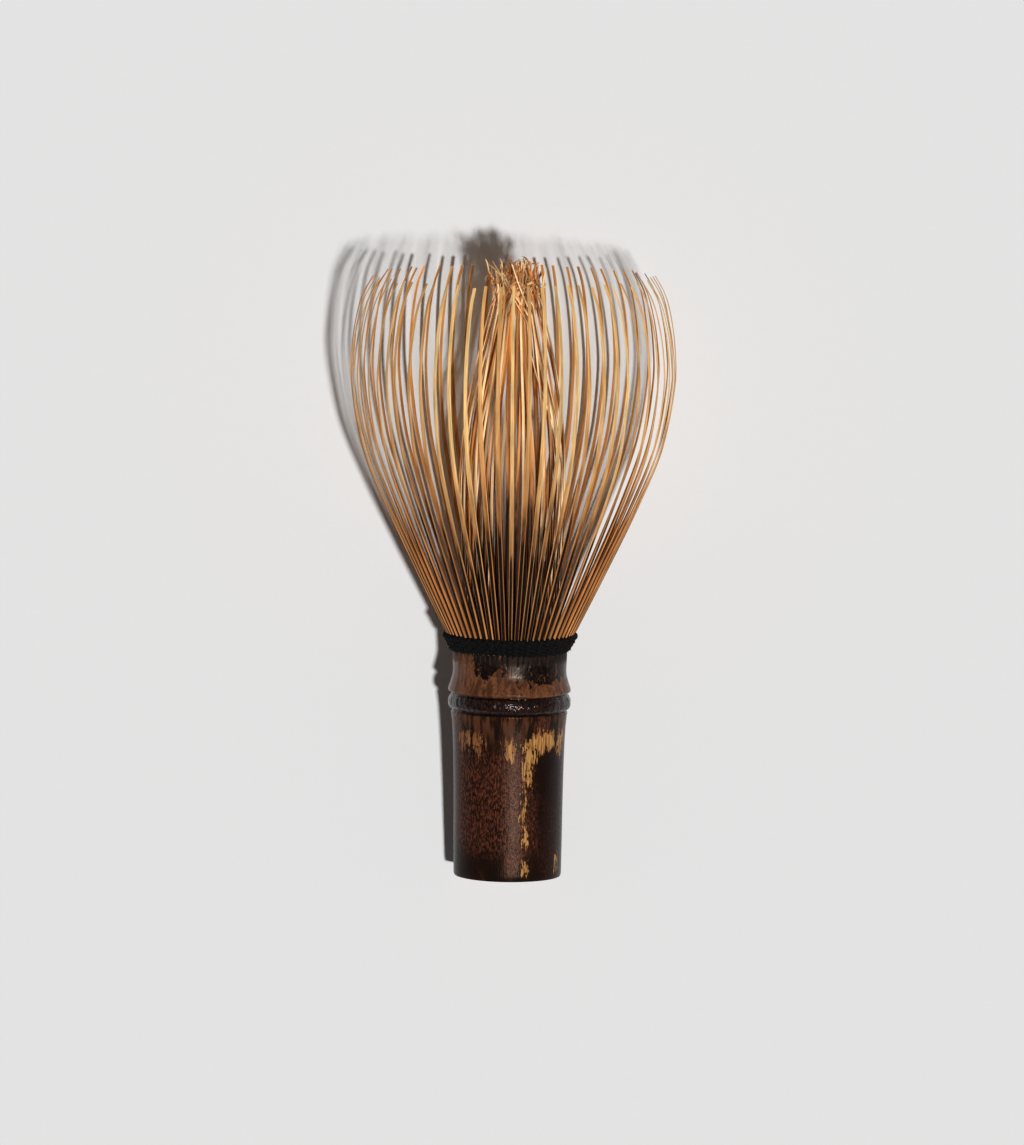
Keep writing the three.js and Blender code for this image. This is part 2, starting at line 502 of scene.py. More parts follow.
def smoked_colour(s, at):
    """Dark brown with red-brown flecks and dark pits, and with brown streaks towards the node."""
    colour = s.mix(s.rise(at.cloud, 0.38, 0.62), *SMOKED)
    front = s.times(s.hump(at.azimuth, -24, 38, 24), s.hump(at.z, 15.0, 6.5, 6.0))
    reddened = s.most(front, s.rise(at.cloud, 0.46, 0.60))
    red = s.times(s.rise(at.fleck, 0.46, 0.60), reddened)
    colour = s.mix(s.times(red, 0.8), colour, RED_FLECK)
    colour = s.mix(s.times(s.rise(at.pit, 0.45, 0.36), 0.75), colour, DARK_PIT)
    shade = s.times(s.hump(at.azimuth, 56, 20, 9), s.rise(at.z, 29.0, 25.0))
    colour = s.mix(s.times(shade, 0.8), colour, RIGHT_SHADE)
    brown = s.times(s.rise(at.z, 24.5, 30.5), s.rise(at.streak, 0.42, 0.60))
    return s.mix(s.times(brown, 0.65), colour, BROWN_STREAK)


def ochre_share(s, at):
    """How much of the skin is ochre: the patches, ragged and worn along the fibres."""
    ragged_azimuth = s.plus(at.azimuth, s.sway(at.blot, 20))
    ragged_top = s.plus(at.z, s.sway(at.fibre, 6.0))
    patches = 0.0
    for centre, half, low, high, drip in OCHRE_PATCHES:
        window = s.hump(ragged_azimuth, centre, half * PATCH_FULL, half * PATCH_FADE)
        dripping = s.plus(at.z, s.sway(at.streak, drip))
        lower = s.rise(dripping, low - PATCH_LOWER_SOFT, low + PATCH_LOWER_SOFT)
        upper = s.rise(ragged_top, high + PATCH_UPPER_SOFT, high - PATCH_UPPER_SOFT)
        patches = s.plus(patches, s.times(window, s.times(lower, upper)))
    worn = s.total(s.sway(at.fleck, 3.0), s.sway(at.blot, 2.4))
    worn = s.total(worn, s.sway(at.fibre, 2.6), s.sway(at.streak, 2.4))
    return s.times(s.rise(s.plus(patches, worn), 0.72, 1.08), s.rise(patches, 0.05, 0.45))


def ochre_colour(s, at):
    """Fibrous ochre, browner towards the left."""
    grain = s.rise(at.fibre, 0.38, 0.64)
    return s.mix(s.rise(at.azimuth, 12, -20), s.mix(grain, *OCHRE), s.mix(grain, *BROWNER_OCHRE))


def collar_colour(s, at):
    """Brown up to a ragged edge, and smoked nearly black above it."""
    brown = s.mix(s.rise(at.streak, 0.38, 0.62), *COLLAR_BROWN)
    brown = s.mix(s.times(s.rise(at.fleck, 0.54, 0.64), 0.7), brown, COLLAR_FLECK)
    higher_at_left = s.times(s.hump(at.azimuth, -64, 20, 10), -3.8)
    lower_at_right = s.times(s.rise(at.azimuth, 0, 12), 1.3)
    ragged = s.total(s.sway(at.patchy, 11.0), s.sway(at.streak, 6.0), higher_at_left, lower_at_right)
    dark = s.rise(s.plus(at.z, ragged), DARK_EDGE_Z, DARK_EDGE_Z + 0.3)
    thin_spots = s.times(s.rise(at.blot, 0.60, 0.66), -0.7)
    dark = s.times(dark, s.plus(1.0, thin_spots))
    return s.mix(dark, brown, s.mix(s.rise(at.fleck, 0.44, 0.60), *COLLAR_SMOKE))


def with_node(s, at, colour):
    """The colour with the node laid over it: a dark band between two black grooves."""
    band = s.mix(s.rise(at.fleck, 0.42, 0.60), *NODE_BAND)
    colour = s.mix(s.hump(at.z, BAND_Z, 1.3, 0.7), colour, band)
    groove = s.most(s.hump(at.z, NODE_LOW_Z, 0.10, 0.28), s.hump(at.z, NODE_HIGH_Z, 0.08, 0.26))
    return s.mix(s.times(groove, 0.9), colour, GROOVE)


def skin_material(name, specular, tint, roughness, relief):
    """The smoked skin of the culm. Its reflection differs between the handle, the node and the collar."""
    s = Shader(name)
    at = skin_patterns(s)
    colour = s.mix(ochre_share(s, at), smoked_colour(s, at), ochre_colour(s, at))
    colour = s.mix(s.rise(at.z, NODE_HIGH_Z - 0.1, NODE_HIGH_Z + 0.5), colour, collar_colour(s, at))
    s.set("Base Color", with_node(s, at, colour))

    glossy_node = s.times(s.hump(at.z, GLOSS_Z, 2.0, 1.0), -0.15)
    dull_top = s.times(s.rise(at.z, DULL_FROM_Z, DULL_FULL_Z), 0.34)
    uneven = s.plus(s.times(at.fleck, 0.16), roughness - 0.08)
    s.set("Roughness", s.plus(uneven, s.plus(glossy_node, dull_top)))
    s.set("Specular IOR Level", specular)
    s.set("Specular Tint", tint)
    dimples = s.times(at.dimple, s.hump(at.z, BAND_Z, 1.6, 0.6))
    s.bump(s.total(s.times(at.fibre, 0.5), s.times(at.fleck, 0.6), s.times(dimples, 4.0)), relief)
    return s.material


def cut_material():
    """Bare bamboo where the culm is sawn or hollowed: pale straw with dark fibre ends."""
    s = Shader("cut_bamboo")
    x, y, z = s.place()
    grain = s.noise(s.vector(x, y, s.times(z, 0.15)), 3.0, 3)
    blotch = s.noise(s.vector(x, y, z), 0.35, 3)
    straw = s.mix(s.rise(grain, 0.40, 0.62), *CUT_STRAW)
    s.set("Base Color", s.mix(s.times(s.rise(blotch, 0.45, 0.65), 0.5), straw, CUT_BLOTCH))
    s.set("Roughness", s.plus(s.times(grain, 0.3), 0.5))
    s.bump(grain, 0.12)
    return s.material


# ---------------------------------------------------------------- the materials of the tines and the thread

# The tines' flesh near the root, above it and on the inner face, the last darker flesh with painted shade
# from the tines in front of it
OUTER_TINE_COLOURS = (paint(188, 130, 74), paint(230, 187, 122), paint(180, 113, 62))
INNER_TINE_COLOURS = (paint(230, 192, 147), paint(240, 204, 152), paint(142, 84, 44))
TINE_ORANGE = (paint(176, 103, 50), paint(218, 144, 74))
# The black of the tines' skin side: smoke on the outer tines, and on the inner tines smoke stain and painted
# shade of the bundle's depths
TINE_SMOKE_AND_SHADE = (paint(8, 5, 5), paint(26, 16, 12))
TINE_WARM_BROWN = paint(92, 48, 26)
SMOKED_ROUGHNESS = 0.7

THREAD_BLACK = (paint(6, 6, 7), paint(19, 18, 19))
THREAD_FIBRE = paint(44, 42, 42)
PLY_STRANDS = 2


def tine_patterns(s):
    """The numbers on the tines' points (see ribbon), and noises that differ from tine to tine."""
    reach, across, tone = s.number("reach"), s.number("across"), s.number("tone")
    return SimpleNamespace(
        reach=reach,
        tone=tone,
        skin=s.number("skin"),
        inside=s.number("inside"),
        hue=s.maths("FRACT", s.times(tone, 7.31)),
        lot=s.maths("FRACT", s.times(tone, 13.7)),
        fibre=s.noise(s.vector(across, s.times(reach, 0.05), s.times(tone, 37.0)), 3.0, 3),
        drift=s.noise(s.vector(across, s.times(reach, 0.12), s.times(tone, 91.0)), 1.0, 3),
        pore=s.noise(s.vector(s.times(across, 5.0), s.times(reach, 0.6), s.times(tone, 53.0)), 2.4, 2),
    )


def flesh_colour(s, at, low, high, inner, variety):
    """The colour low near the root, high above it and inner, darker with painted shade, on the inner face,
    some tines more orange.
    """
    flesh = s.mix(s.rise(at.reach, 14.0, 56.0), low, high)
    flesh = s.mix(s.times(at.inside, 0.8), flesh, inner)
    orange = s.mix(s.rise(at.reach, 10.0, 50.0), *TINE_ORANGE)
    flesh = s.mix(s.times(s.rise(at.hue, 0.2, 0.8), variety), flesh, orange)
    flesh = s.bright(flesh, s.plus(s.times(at.fibre, 2.0), 0.02))
    return s.bright(flesh, s.plus(s.times(at.tone, 0.85 * variety), 1 - 0.48 * variety))


def tine_material(name, low, high, inner, smoke_and_shade_end, stain_and_shade, variety, roughness, specular):
    """Split bamboo, nearly black on its skin side up to about smoke_and_shade_end millimetres above the root:
    smoke on the outer tines, and on the inner tines smoke stain and painted shade of the bundle's depths.

    The rest of most tines is darkened by a share of that black, which is stain and painted shade. variety is
    how much the tines differ.
    """
    s = Shader(name)
    at = tine_patterns(s)
    # On the inner tines this black and the warm brown are stain and painted shade of the bundle's depths; on
    # the outer tines they are smoke
    stained_and_shaded_tine = s.times(s.rise(at.lot, 0.30, 0.36), stain_and_shade)
    stained_and_shaded = s.most(stained_and_shaded_tine, s.times(s.rise(at.reach, 15.0, 6.0), stain_and_shade))
    fade = s.total(at.reach, s.sway(at.drift, 34.0), s.sway(at.hue, -9.0))
    smoked = s.times(s.most(at.skin, stained_and_shaded), s.rise(fade, smoke_and_shade_end + 5.0, smoke_and_shade_end - 5.0))
    warm = s.most(at.skin, s.times(stained_and_shaded, 0.8))
    warm = s.times(warm, s.rise(fade, smoke_and_shade_end + 16.0, smoke_and_shade_end - 2.0))

    colour = flesh_colour(s, at, low, high, inner, variety)
    colour = s.mix(s.times(warm, 0.65), colour, TINE_WARM_BROWN)
    s.set("Base Color", s.mix(smoked, colour, s.mix(s.rise(at.pore, 0.44, 0.60), *TINE_SMOKE_AND_SHADE)))
    uneven = s.plus(s.times(at.fibre, 0.16), roughness - 0.08)
    s.set("Roughness", s.plus(uneven, s.times(smoked, SMOKED_ROUGHNESS - roughness)))
    s.set("Specular IOR Level", specular)
    s.bump(s.plus(at.fibre, s.times(at.pore, 0.3)), 0.03)
    return s.material


def thread_material():
    """Black cotton: matt, with the ply's slanting lines and a few grey fibres."""
    s = Shader("black_cotton")
    turn, along = s.number("turn"), s.number("along")
    ply = s.maths("SINE", s.plus(s.times(along, 7.0), s.times(turn, 2 * math.pi * PLY_STRANDS)))
    fuzz = s.noise(s.vector(s.times(turn, 6.0), s.times(along, 3.0), 0.0), 2.0, 3)
    cotton = s.mix(s.rise(ply, -0.8, 0.9), *THREAD_BLACK)
    s.set("Base Color", s.mix(s.rise(fuzz, 0.62, 0.76), cotton, THREAD_FIBRE))
    s.set("Roughness", 0.92)
    s.set("Specular IOR Level", 0.12)
    s.bump(s.plus(s.times(ply, 0.4), fuzz), 0.07)
    return s.material


# ---------------------------------------------------------------- culm

# The outline of the culm as radius and height: its outer wall from the foot up, its rim, the cup above the
# septum, and from the septum down the bore and the foot
CULM_TOP_Z = RIM_Z + 0.35
HANDLE_WALL = [(10.12, 0.0), (10.25, 0.22), (10.3, 4), (10.35, 8), (10.4, 14.6), (10.55, 22.8),
               (10.75, 28.0), (10.98, 30.6)]
NODE_WALL = [(10.98, 30.6), (11.08, 31.35), (10.85, 31.75), (11.05, 32.05), (11.5, 32.5), (11.66, 33.1),
             (11.62, 33.9), (11.4, 34.5), (11.1, 34.85), (11.15, 35.15), (11.6, 35.5), (11.68, 35.8),
             (11.27, 37.0), (10.90, 38.3)]
COLLAR_WALL = [(10.90, 38.3), (10.80, 39.3), (10.86, 41.3), (10.92, CULM_TOP_Z)]
RIM = [(10.72, CULM_TOP_Z + 0.08), (10.0, CULM_TOP_Z + 0.1), (9.0, CULM_TOP_Z + 0.05)]
CUP = [(8.7, CULM_TOP_Z), (8.5, RIM_Z - 1), (7.9, 38), (6.9, 35.4), (5.4, 34.6), (2.6, 34.2)]
BORE = [(2.6, 32.0), (5.0, 31.9), (6.1, 31.2), (6.4, 29), (6.5, 14), (6.5, 0.4)]
FOOT = [(6.62, 0.08), (6.8, 0.0), (8.3, 0.0), (10.0, 0.0)]
SEPTUM_TOP = (0, 0, 34.1)
SEPTUM_UNDERSIDE = (0, 0, 31.95)

# The swelling of the node: its middle and its reach up and down
NODE_Z = 33.6
NODE_REACH = 2.2

FACETS_PER_TINE = 6
CULM_FACETS = TINE_COUNT * FACETS_PER_TINE
FACET = np.arange(CULM_FACETS)
TURN = FACET / CULM_FACETS * 2 * np.pi

# The slits between the tines: depth, the range of their lower ends, and the length over which they deepen
SLIT_DEPTH = 0.14
SLIT_FOOT_Z = (40.4, 42.4)
SLIT_RUN = 1.2

# The kinds of the culm's faces, in the order of the materials that add_culm takes
HANDLE, CUT, NODE, COLLAR = range(4)


def rings_round(radius, height):
    """Rings of points round the axis, one for each row of radius and height."""
    height = np.broadcast_to(height, (len(height), CULM_FACETS))
    return np.stack([radius * np.cos(TURN), radius * np.sin(TURN), height], axis=2)


def plain_rings(profile):
    return rings_round(profile[:, :1], profile[:, 1:])


def wall_rings(profile):
    """Rings of the outer wall: a little out of round, uneven at the node, slit between the tines.

    The waves round the wall are in millimetres.
    """
    radius, height = profile[:, :1], profile[:, 1:]
    oval = 0.10 * np.cos(2 * TURN + 0.6) + 0.05 * np.cos(3 * TURN + 2.0) - 0.10
    node = np.exp(-((height - NODE_Z) / NODE_REACH) ** 2)
    ripple = np.sin(5 * TURN + 1.0) + 0.6 * np.sin(11 * TURN + 4.0) + 0.5 * np.sin(23 * TURN)
    dent = np.sin(31 * TURN + 3 * height) * np.sin(19 * TURN - 2 * height)
    lift = node * (0.22 * np.sin(2 * TURN - 0.8) + 0.06 * np.sin(7 * TURN))
    draw = random.Random(SEED + 3)
    slit_foot = np.repeat([draw.uniform(*SLIT_FOOT_Z) for _ in range(TINE_COUNT)], FACETS_PER_TINE)
    in_slit = FACET % FACETS_PER_TINE == FACETS_PER_TINE // 2
    slit = in_slit * smoothstep(slit_foot, slit_foot + SLIT_RUN, height)
    radius = radius + oval + node * (0.05 * ripple + 0.03 * dent) - SLIT_DEPTH * slit
    return rings_round(radius, height + lift)


def skin_kind(height):
    if height < NODE_LOW_Z:
        return HANDLE
    return NODE if height < NODE_HIGH_Z else COLLAR


def add_culm(materials):
    """The culm as one closed skin, with a kind of face for each of its materials."""
    handle, node = through(HANDLE_WALL, 44), through(NODE_WALL, 64)
    wall = np.concatenate([handle[:-1], node[:-1], through(COLLAR_WALL, 24)])
    cup = np.concatenate([RIM, through(CUP, 18)])
    bore = np.concatenate([through(BORE, 22), FOOT])
    sheet = Sheet()
    skin_kinds = [skin_kind(height) for height in wall[:-1, 1]]
    wall_foot, wall_top = sheet.loft(wall_rings(wall), {}, capped=False, kind=skin_kinds)
    cup_top, cup_floor = sheet.loft(plain_rings(cup), {}, capped=False, kind=CUT)
    bore_top, bore_foot = sheet.loft(plain_rings(bore), {}, capped=False, kind=CUT)
    sheet.join(wall_top, cup_top, CULM_FACETS, CUT)
    sheet.join(bore_foot, wall_foot, CULM_FACETS, CUT)
    sheet.close(cup_floor, CULM_FACETS, SEPTUM_TOP, CUT)
    sheet.close(bore_top, CULM_FACETS, SEPTUM_UNDERSIDE, CUT)
    sheet.piece("bamboo_culm", "culm", "smoked_bamboo", materials, ["culm"], sharp_deg=40)


# ---------------------------------------------------------------- tines

def closed_ring(half, mirror=1):
    """Half a ring of values and its mirror image, as one ring."""
    return np.concatenate([half, half[-2:0:-1] * np.array(mirror)])


# Half of a tine's cross-section, from the middle of its outer face round to the middle of its inner face:
# across as a share of the width and depth as a share of the thickness, at the root and at the tip
ROOT_HALF = np.array([(0, 0), (0.20, 0.01), (0.31, 0.03), (0.35, 0.07), (0.50, 0.36), (0.48, 0.62),
                      (0.36, 0.95), (0, 1)])
TIP_HALF = np.array([(0, 0), (0.18, 0.03), (0.34, 0.10), (0.44, 0.22), (0.50, 0.46), (0.46, 0.72),
                     (0.34, 0.95), (0, 1)])
ROOT_SECTION = closed_ring(ROOT_HALF, (-1, 1))
TIP_SECTION = closed_ring(TIP_HALF, (-1, 1))

# Which points of the section are on the skin side and on the inner face
ORDER = np.arange(len(ROOT_HALF))
ON_SKIN = closed_ring((ORDER < 3).astype(float))
ON_INSIDE = closed_ring((ORDER >= len(ORDER) - 2).astype(float))

# Width and thickness of the tines, each as shares of the length and the sizes there
OUTER_WIDTH = ([0, 0.12, 0.5, 0.8, 1], [0.78, 0.84, 0.87, 0.68, 0.60])
OUTER_DEPTH = ([0, 0.12, 0.4, 0.7, 1], [0.86, 0.64, 0.28, 0.17, 0.13])
INNER_WIDTH = ([0, 0.2, 0.5, 0.78, 1], [0.80, 0.74, 0.60, 0.50, 0.38])
INNER_DEPTH = ([0, 0.3, 0.7, 1], [0.50, 0.36, 0.22, 0.15])
SLIVER_WIDTH = ([0.6, 0.9, 1], [0.38, 0.32, 0.14])

# The outer face of an outer tine and of an inner one, as radius and height
OUTER_OUTLINE = [(10.85, ROOT_Z + 0.3), (12.9, 47.5), (18.6, 59), (24.1, 70.5), (28.8, 82), (31.0, 93.5),
                 (30.95, 101), (30.1, 107), (28.9, 111.2), (27.0, OUTER_TIP_Z - 0.1)]
INNER_OUTLINE = [(9.25, ROOT_Z + 0.3), (9.75, 60), (10.5, 73), (10.45, 82), (9.6, 90.5), (8.2, 98),
                 (7.0, 103.5), (5.4, 109.5)]
OUTER_STATIONS = 70
INNER_STATIONS = 60
CURL_STATIONS = 20

# The tangle of the inner tips: its middle, its radius and height, its ceiling, over what length the ceiling
# presses the tips down, how much wider the room is below it, and the share that is left of any way out of it
TANGLE_X = 0.6
TANGLE_RADIUS = 5.4
TANGLE_Z = 105.0
TANGLE_TOP_Z = INNER_TIP_Z - 0.25
TANGLE_SOFT = 2.5
WIDER_BELOW = 6
LEFT_OUTSIDE = 0.3

# How sharply a tip or a sliver curls, in radians a step. One is drawn for each.
TIP_BENDS = (0.0, 0.01, 0.02, 0.03, 0.07)
SLIVER_BENDS = (0.01, 0.02, 0.03, 0.05, 0.16)

# A few inner tines at the right swing towards the front as they rise, and their tips then lean to the left:
# their azimuth from the x axis, half their spread, how far they swing, all in degrees, how much they lean,
# their tone, and how much wider they are than the others
SWEEP_AZIMUTH = -28
SWEEP_HALF = 10
SWEEP_DEG = -30
SWEEP_LEAN = -0.36
SWEEP_TONE = 0.96
SWEEP_WIDER = 1.2


def ribbon(sheet, surface, side, inward, width, depth, share, tone, smoked):
    """Lofts a tine whose outer face runs along the surface line. share is 0 at the root and 1 at the tip.

    Its points carry these numbers: reach is the height above the root, across the way over the section, and
    tone a number from 0 to 1 of the tine's own. skin and inside are 1 on the skin side and on the inner face.
    smoked is 0 for a tine without a black skin side; that black is smoke, and on the inner tines painted
    shade as well.
    """
    blend = smoothstep(0.15, 0.6, share)[:, None, None]
    section = ROOT_SECTION * (1 - blend) + TIP_SECTION * blend
    across, down = section[..., 0] * width[:, None], section[..., 1] * depth[:, None]
    rings = surface[:, None] + across[..., None] * side[:, None] + down[..., None] * inward[:, None]
    reach = surface[:, 2] - ROOT_Z
    numbers = {"reach": reach[:, None], "across": across + down, "tone": tone}
    sheet.loft(rings, {**numbers, "skin": ON_SKIN * smoked, "inside": ON_INSIDE})


def twisted(side, inward, angle):
    """The two directions turned about the tine by an angle at each station."""
    cosine, sine = np.cos(angle)[:, None], np.sin(angle)[:, None]
    return side * cosine + inward * sine, inward * cosine - side * sine


def hook(point, heading, step, bend, stations, draw):
    """A tip that curls over in a direction of its own, tighter towards its end."""
    axis = unit(np.array([draw.gauss(0, 1), draw.gauss(0, 1), draw.gauss(0, 0.6)]))
    points = []
    for i in range(stations):
        angle = bend * (0.3 + 1.4 * i / stations)
        heading = unit(heading * math.cos(angle) + np.cross(axis, heading) * math.sin(angle))
        point = point + heading * step
        points.append(point)
    return np.array(points)


def tine_bodies(prefix):
    return sorted(name for name in frame["bodies"] if name.startswith(prefix))


def tine_azimuths(body, count):
    """Where the body's tines stand round the axis, in degrees from the x axis."""
    joint = next(j for j in frame["joints"] if j["child"] == body)
    x, y, _ = joint["pos_m"]
    middle = math.degrees(math.atan2(y, x))
    return [middle + (index - (count - 1) / 2) * TINE_PITCH for index in range(count)]


# ---------------------------------------------------------------- outer tines

def outer_tine(sheet, azimuth_deg, draw):
    """One tine of the cage. draw gives its random numbers."""
    outline = through(OUTER_OUTLINE, OUTER_STATIONS)
    share = np.linspace(0, 1, OUTER_STATIONS)
    loose = smoothstep(0.1, 1.0, share)
    sunk = abs(draw.gauss(0, 0.35))
    curled_in = draw.uniform(-0.3, 1.0)
    shorter = abs(draw.gauss(0, 0.005))
    leaning = draw.gauss(0, 0.42)
    wave_start = draw.uniform(0, 6)

    radius = outline[:, 0] - loose * sunk - share**5 * curled_in
    lean = loose * leaning + 0.20 * loose * np.sin(share * 5 + wave_start)
    azimuth = np.radians(azimuth_deg + np.clip(lean, -1.0, 1.0))
    out = np.stack([np.cos(azimuth), np.sin(azimuth), np.zeros_like(azimuth)], axis=1)
    surface = radius[:, None] * out
    surface[:, 2] = ROOT_Z + (outline[:, 1] - ROOT_Z) * (1 - shorter)

    tangent = unit(np.gradient(surface, axis=0))
    side = unit(np.cross(np.array([0.0, 0.0, 1.0]), out))
    inward = unit(np.cross(tangent, side))
    inward *= -np.sign(np.sum(inward * out, axis=1))[:, None]
    side, inward = twisted(side, inward, np.radians(draw.gauss(0, 4)) * loose)
    width = np.interp(share, *OUTER_WIDTH) * draw.uniform(0.88, 1.06)
    depth = np.interp(share, *OUTER_DEPTH) * draw.uniform(0.9, 1.1)
    ribbon(sheet, surface, side, inward, width, depth, share, tone=draw.random(), smoked=1.0)


def add_outer_tines(material):
    draw = random.Random(SEED)
    for body in tine_bodies("outer_"):
        sheet = Sheet()
        for azimuth_deg in tine_azimuths(body, OUTER_PER_BODY):
            outer_tine(sheet, azimuth_deg, draw)
        number = body.split("_")[1]
        name = f"outer_tine_pair_{number}"
        sheet.piece(name, body, "tine_bamboo", [material], [f"outer_tines_{number}"])


# ---------------------------------------------------------------- inner tines

def confine(path):
    """Keeps the tangle of tips under its ceiling and within its radius, softly."""
    path = path.copy()
    over = np.maximum(path[:, 2] - (TANGLE_TOP_Z - TANGLE_SOFT), 0)
    path[:, 2] = path[:, 2] - over + TANGLE_SOFT * (1 - np.exp(-over / TANGLE_SOFT))
    away = np.hypot(path[:, 0] - TANGLE_X, path[:, 1])
    limit = TANGLE_RADIUS + WIDER_BELOW * (1 - smoothstep(TANGLE_Z - 12, TANGLE_Z + 5, path[:, 2]))
    allowed = limit + (away - limit) * LEFT_OUTSIDE
    shrink = np.where(away > limit, allowed / np.maximum(away, 0.1), 1.0)
    path[:, 0] = TANGLE_X + (path[:, 0] - TANGLE_X) * shrink
    path[:, 1] *= shrink
    return path


def carried_frame(path, side):
    """Side and inward directions carried along a path without turning about it."""
    tangent = unit(np.gradient(path, axis=0))
    sides = np.empty_like(path)
    for i, along in enumerate(tangent):
        side = unit(side - along * np.dot(side, along))
        sides[i] = side
    return sides, np.cross(sides, tangent)


def sliver(sheet, start, heading, draw):
    """A fine fibre split off a tip."""
    heading = unit(heading + np.array([draw.gauss(0, 0.30), draw.gauss(0, 0.30), 0.2]))
    step = draw.uniform(0.22, 0.40)
    path = confine(hook(start, heading, step, draw.choice(SLIVER_BENDS), CURL_STATIONS, draw))
    side, inward = carried_frame(path, unit(np.array([draw.gauss(0, 1), draw.gauss(0, 1), 0.3])))
    share = np.linspace(0.6, 1, len(path))
    width = np.interp(share, *SLIVER_WIDTH) * draw.uniform(0.7, 1.1)
    ribbon(sheet, path, side, inward, width, width * 0.6, share, tone=draw.random(), smoked=0.0)


def inner_stem(azimuth_deg, ring, sweeps, draw):
    """The run of an inner tine from its root up to where its tip starts."""
    outline = through(INNER_OUTLINE, INNER_STATIONS)
    share = np.linspace(0, 1, INNER_STATIONS)
    rise = smoothstep(0.1, 1.0, share)
    crowding = abs(draw.gauss(0, 0.08))
    wave = np.sin(share * draw.uniform(4, 8) + draw.uniform(0, 6))
    shorter = draw.uniform(0, 4)
    root_lean = np.clip(draw.gauss(0, 0.8), -1.3, 1.3)
    tip_lean = draw.gauss(0, 9)
    bow = draw.gauss(0, 1.6)

    nearer = 0.03 + (0 if sweeps else 0.26 * ring) + crowding
    radius = outline[:, 0] * (1 - rise * nearer) + 0.16 * wave * rise
    height = outline[:, 1] - shorter * smoothstep(0.6, 1, share)
    lean = root_lean + tip_lean * rise**2
    lean = lean + bow * np.sin(share * math.pi * 1.6) * rise
    if sweeps:
        lean = lean + SWEEP_DEG * smoothstep(0.45, 1.0, share)
    azimuth = np.radians(azimuth_deg + lean)
    return np.stack([radius * np.cos(azimuth) + TANGLE_X * rise, radius * np.sin(azimuth), height], axis=1)


def inner_tip(stem, sweeps, draw):
    """The tip that goes on from the stem, bent in a way of its own unless it sweeps."""
    spread = 0.05 if sweeps else 0.2
    lowest_end = 116.5 if sweeps else 112
    heading = unit(stem[-1] - stem[-4]) + np.array([draw.gauss(0, spread), draw.gauss(0, spread), 0])
    bend = draw.choice(TIP_BENDS)
    if sweeps:
        heading[0] += SWEEP_LEAN
        bend = 0.0
    rest = draw.uniform(lowest_end, INNER_TIP_Z - 0.3) - stem[-1][2]
    return hook(stem[-1], unit(heading), rest / CURL_STATIONS * 1.05, bend, CURL_STATIONS, draw)


def inner_tine(sheet, azimuth_deg, ring, draw):
    """One tine of the inner bundle, with its slivers. ring 1 stands nearer to the axis than ring 0."""
    sweeps = abs(azimuth_deg - SWEEP_AZIMUTH) < SWEEP_HALF
    stem = inner_stem(azimuth_deg, ring, sweeps, draw)
    path = confine(np.concatenate([stem, inner_tip(stem, sweeps, draw)]))
    side, inward = carried_frame(path, unit(np.array([-path[0, 1], path[0, 0], 0.0])))
    if np.dot(inward[0], path[0] * (1, 1, 0)) > 0:
        inward = -inward
    share = np.linspace(0, 1, len(path))
    side, inward = twisted(side, inward, draw.gauss(0, 0.4) * smoothstep(0.15, 0.8, share))
    width = np.interp(share, *INNER_WIDTH) * draw.uniform(0.84, 1.10) * (SWEEP_WIDER if sweeps else 1.0)
    depth = np.interp(share, *INNER_DEPTH)
    tone = SWEEP_TONE if sweeps else draw.random()
    # The inner tine's skin side takes the black too, as smoke stain and painted shade
    ribbon(sheet, path, side, inward, width, depth, share, tone, smoked=1.0)

    for _ in range(draw.choice((1, 1, 2))):
        at = int(draw.uniform(0.78, 0.96) * len(path))
        sliver(sheet, path[at], unit(path[at] - path[at - 3]), draw)


def add_inner_tines(material):
    draw = random.Random(SEED + 1)
    for body in tine_bodies("inner_"):
        sheet = Sheet()
        for index, azimuth_deg in enumerate(tine_azimuths(body, INNER_PER_BODY)):
            inner_tine(sheet, azimuth_deg, index % 2, draw)
        number = body.split("_")[1]
        name = f"inner_tine_group_{number}"
        sheet.piece(name, body, "inner_tine_bamboo", [material], [f"inner_tines_{number}"])


# ---------------------------------------------------------------- thread

# Rows of twining, from the lowest: height and the thread's radius. BEHIND is how far in from the
# tines' outer faces a strand passes behind them.
THREAD_ROWS = ((43.65, 0.40), (44.40, 0.42), (45.15, 0.43), (45.90, 0.46))
THREAD_STEPS = TINE_COUNT * 10
THREAD_SIDES = 10
BEHIND = 0.95
HAIR_COUNT = 260
HAIR_RADIUS = 0.03
HAIR_STATIONS = 6
HAIR_SIDES = 4


def outer_surface_radius(height):
    """Radius of the outer tines' outer faces at a height near their roots."""
    (low_radius, low_z), (high_radius, high_z) = OUTER_OUTLINE[:2]
    return low_radius + (high_radius - low_radius) * (height - low_z) / (high_z - low_z)


def tube(sheet, path, radius, sides, closed):
    """A round thread along a path. Its points carry turn, 0 to 1 round it, and along, its run."""
    if closed:
        tangent = unit(np.roll(path, -1, axis=0) - np.roll(path, 1, axis=0))
    else:
        tangent = unit(np.gradient(path, axis=0))
    side = unit(np.cross(tangent, np.array([0.0, 0.0, 1.0])))
    over = np.cross(side, tangent)
    turn = np.arange(sides) / sides * 2 * np.pi
    ring = np.cos(turn)[None, :, None] * side[:, None] + np.sin(turn)[None, :, None] * over[:, None]
    run = np.cumsum(np.linalg.norm(np.diff(path, axis=0, prepend=path[:1]), axis=1))
    numbers = {"turn": (turn / (2 * np.pi))[None, :], "along": run[:, None]}
    sheet.loft(path[:, None] + radius * ring, numbers, closed)


